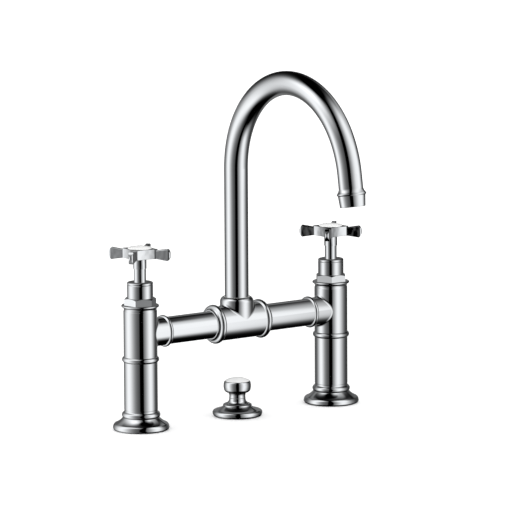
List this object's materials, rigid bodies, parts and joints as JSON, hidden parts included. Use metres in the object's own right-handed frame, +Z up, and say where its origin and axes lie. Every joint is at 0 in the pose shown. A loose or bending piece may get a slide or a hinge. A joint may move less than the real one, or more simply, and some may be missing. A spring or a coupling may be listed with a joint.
{
  "type": "bridge faucet",
  "caption": "Bridge kitchen faucet with cross handles, a swivelling gooseneck spout and a pull knob for a pop-up waste, polished chrome.",
  "frame": {"origin": "on the top face of the deck, midway between the two pillars and on the swivel axis of the spout", "axes": "+Z up out of the deck, -Y towards the user and the way the spout points at rest, +X towards the cold pillar"},
  "size_m": [0.2514, 0.2001, 0.3654],
  "materials": {
    "chrome": "polished",
    "brass": "machined",
    "steel": "machined",
    "rubber": "matt",
    "ceramic": "lapped",
    "plastic": "moulded"
  },
  "bodies": {
    "body": {"hot_foot_flange": "chrome", "hot_deck_gasket": "rubber", "hot_lower_pillar": "chrome", "hot_valve_body": "chrome", "hot_seat_seal": "rubber", "hot_cartridge_body": "brass", "hot_body_o_ring": "rubber", "hot_fixed_disc": "ceramic", "hot_bonnet_nut": "chrome", "hot_bonnet_sleeve": "chrome", "hot_shank": "brass", "hot_clamp_washer": "steel", "hot_back_nut": "brass", "hot_bridge_tube": "chrome", "hot_bridge_o_rings": "rubber", "hot_union_collar": "chrome", "cold_foot_flange": "chrome", "cold_deck_gasket": "rubber", "cold_lower_pillar": "chrome", "cold_valve_body": "chrome", "cold_seat_seal": "rubber", "cold_cartridge_body": "brass", "cold_body_o_ring": "rubber", "cold_fixed_disc": "ceramic", "cold_bonnet_nut": "chrome", "cold_bonnet_sleeve": "chrome", "cold_shank": "brass", "cold_clamp_washer": "steel", "cold_back_nut": "brass", "cold_bridge_tube": "chrome", "cold_bridge_o_rings": "rubber", "cold_union_collar": "chrome", "tee_body": "chrome", "locking_screw": "steel", "glide_ring": "plastic", "waste_rosette": "chrome", "waste_guide": "brass", "waste_washer": "steel", "waste_nut": "brass"},
    "hot_handle": {"hot_moving_disc": "ceramic", "hot_spindle": "chrome", "hot_spindle_o_rings": "rubber", "hot_cross_handle": "chrome", "hot_handle_screw": "steel", "hot_index_cap": "ceramic"},
    "cold_handle": {"cold_moving_disc": "ceramic", "cold_spindle": "chrome", "cold_spindle_o_rings": "rubber", "cold_cross_handle": "chrome", "cold_handle_screw": "steel", "cold_index_cap": "ceramic"},
    "spout": {"spout_spigot": "brass", "swivel_o_rings": "rubber", "spout_tube": "chrome", "nozzle": "chrome", "aerator_seal": "rubber", "aerator_housing": "plastic", "aerator_screen": "steel"},
    "waste_pull": {"waste_knob": "chrome", "waste_pull_rod": "steel"}
  },
  "joints": [
    {"name": "hot_handle_turn", "type": "hinge", "parent": "body", "child": "hot_handle", "pos_m": [-0.1016, 0, 0.15], "axis": [0, 0, 1], "range_deg": [0, 90]},
    {"name": "cold_handle_turn", "type": "hinge", "parent": "body", "child": "cold_handle", "pos_m": [0.1016, 0, 0.15], "axis": [0, 0, 1], "range_deg": [-90, 0]},
    {"name": "spout_swivel", "type": "hinge", "parent": "body", "child": "spout", "pos_m": [0, 0, 0.1], "axis": [0, 0, 1], "range_deg": [-75, 75]},
    {"name": "waste_pull_slide", "type": "slide", "parent": "body", "child": "waste_pull", "axis": [0, 0, 1], "range_m": [0, 0.02]}
  ]
}
